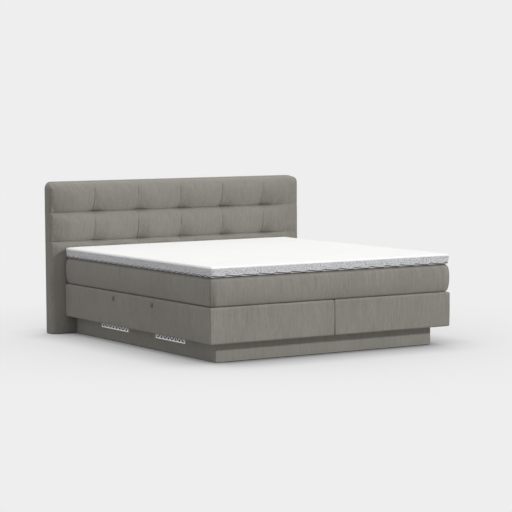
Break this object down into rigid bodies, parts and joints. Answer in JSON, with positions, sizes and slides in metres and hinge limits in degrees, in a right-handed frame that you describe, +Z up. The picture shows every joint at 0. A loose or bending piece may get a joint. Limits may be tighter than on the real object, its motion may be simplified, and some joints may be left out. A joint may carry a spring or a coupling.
{
  "type": "box spring bed",
  "caption": "Storage box spring bed: upholstered plinth, side-lifting sprung base on gas springs, mattress, topper and tufted headboard.",
  "frame": {"origin": "on the floor, under the middle of the bounding box", "axes": "+Z up, +Y from the foot end towards the headboard, +X towards the side with the lift hinges"},
  "size_m": [2.01, 2.125, 1.057],
  "materials": {
    "upholstery": "matte",
    "lining": "matte",
    "topper_fabric": "matte",
    "foam": "matte",
    "spring_pockets": "matte",
    "webbing": "matte",
    "wood": "satin",
    "bright_steel": "satin",
    "black_steel": "satin",
    "felt": "matte",
    "rubber": "matte"
  },
  "bodies": {
    "plinth": {"plinth_left_board": "upholstery", "plinth_right_board": "upholstery", "plinth_foot_board": "upholstery", "plinth_head_board": "wood", "storage_divider": "wood", "storage_floor_left": "wood", "storage_floor_right": "wood", "vent_grille_left_foot": "bright_steel", "vent_grille_left_head": "bright_steel", "vent_grille_right_foot": "bright_steel", "vent_grille_right_head": "bright_steel", "glide_left_foot": "felt", "glide_left_head": "felt", "glide_right_foot": "felt", "glide_right_head": "felt", "rest_pad_left_foot": "rubber", "rest_pad_left_head": "rubber", "rest_pad_middle_foot": "rubber", "rest_pad_middle_head": "rubber", "hinge_base_leaf_foot": "bright_steel", "hinge_base_leaf_head": "bright_steel", "hinge_pin_foot": "bright_steel", "hinge_pin_head": "bright_steel", "gas_spring_base_bracket_foot": "bright_steel", "gas_spring_base_bracket_head": "bright_steel", "headboard_pad": "upholstery", "headboard_back_panel": "lining", "headboard_post_left": "wood", "headboard_post_right": "wood", "headboard_bolt_left": "bright_steel", "headboard_bolt_right": "bright_steel", "glide_headboard_left": "felt", "glide_headboard_right": "felt"},
    "lifting_base": {"box_left_base_frame": "wood", "box_left_rails": "wood", "box_left_slatted_deck": "wood", "box_left_spring_unit": "spring_pockets", "box_left_cover": "upholstery", "box_right_base_frame": "wood", "box_right_rails": "wood", "box_right_slatted_deck": "wood", "box_right_spring_unit": "spring_pockets", "box_right_cover": "upholstery", "joining_plate_foot": "bright_steel", "joining_plate_head": "bright_steel", "pull_loop_foot": "webbing", "pull_loop_head": "webbing", "hinge_lid_leaf_foot": "bright_steel", "hinge_lid_leaf_head": "bright_steel", "gas_spring_lid_bracket_foot": "bright_steel", "gas_spring_lid_bracket_head": "bright_steel", "mattress_cover": "upholstery", "mattress_core": "spring_pockets", "topper_cover": "topper_fabric", "topper_core": "foam"},
    "foot_cylinder": {"gas_spring_cylinder_foot": "black_steel"},
    "foot_rod": {"gas_spring_rod_foot": "bright_steel"},
    "head_cylinder": {"gas_spring_cylinder_head": "black_steel"},
    "head_rod": {"gas_spring_rod_head": "bright_steel"}
  },
  "joints": [
    {"name": "lift", "type": "hinge", "parent": "plinth", "child": "lifting_base", "pos_m": [0.818, -0.01215, 0.122], "axis": [0, 1, 0], "range_deg": [0, 38]},
    {"name": "foot_spring_swing", "type": "hinge", "parent": "plinth", "child": "foot_cylinder", "pos_m": [0.666, -0.9135, 0.054], "axis": [0, 1, 0], "range_deg": [0, 15.6]},
    {"name": "foot_spring_slide", "type": "slide", "parent": "foot_cylinder", "child": "foot_rod", "axis": [0.4112, 0, 0.9116], "range_m": [0, 0.064]},
    {"name": "head_spring_swing", "type": "hinge", "parent": "plinth", "child": "head_cylinder", "pos_m": [0.666, 0.8749, 0.054], "axis": [0, 1, 0], "range_deg": [0, 15.6]},
    {"name": "head_spring_slide", "type": "slide", "parent": "head_cylinder", "child": "head_rod", "axis": [0.4112, 0, 0.9116], "range_m": [0, 0.064]}
  ],
  "couplings": [
    {"joint": "foot_spring_swing", "follows": "lift", "ratio": 0.40873},
    {"joint": "foot_spring_slide", "follows": "lift", "m_per_rad": 0.095916},
    {"joint": "head_spring_swing", "follows": "lift", "ratio": 0.40873},
    {"joint": "head_spring_slide", "follows": "lift", "m_per_rad": 0.095916}
  ]
}
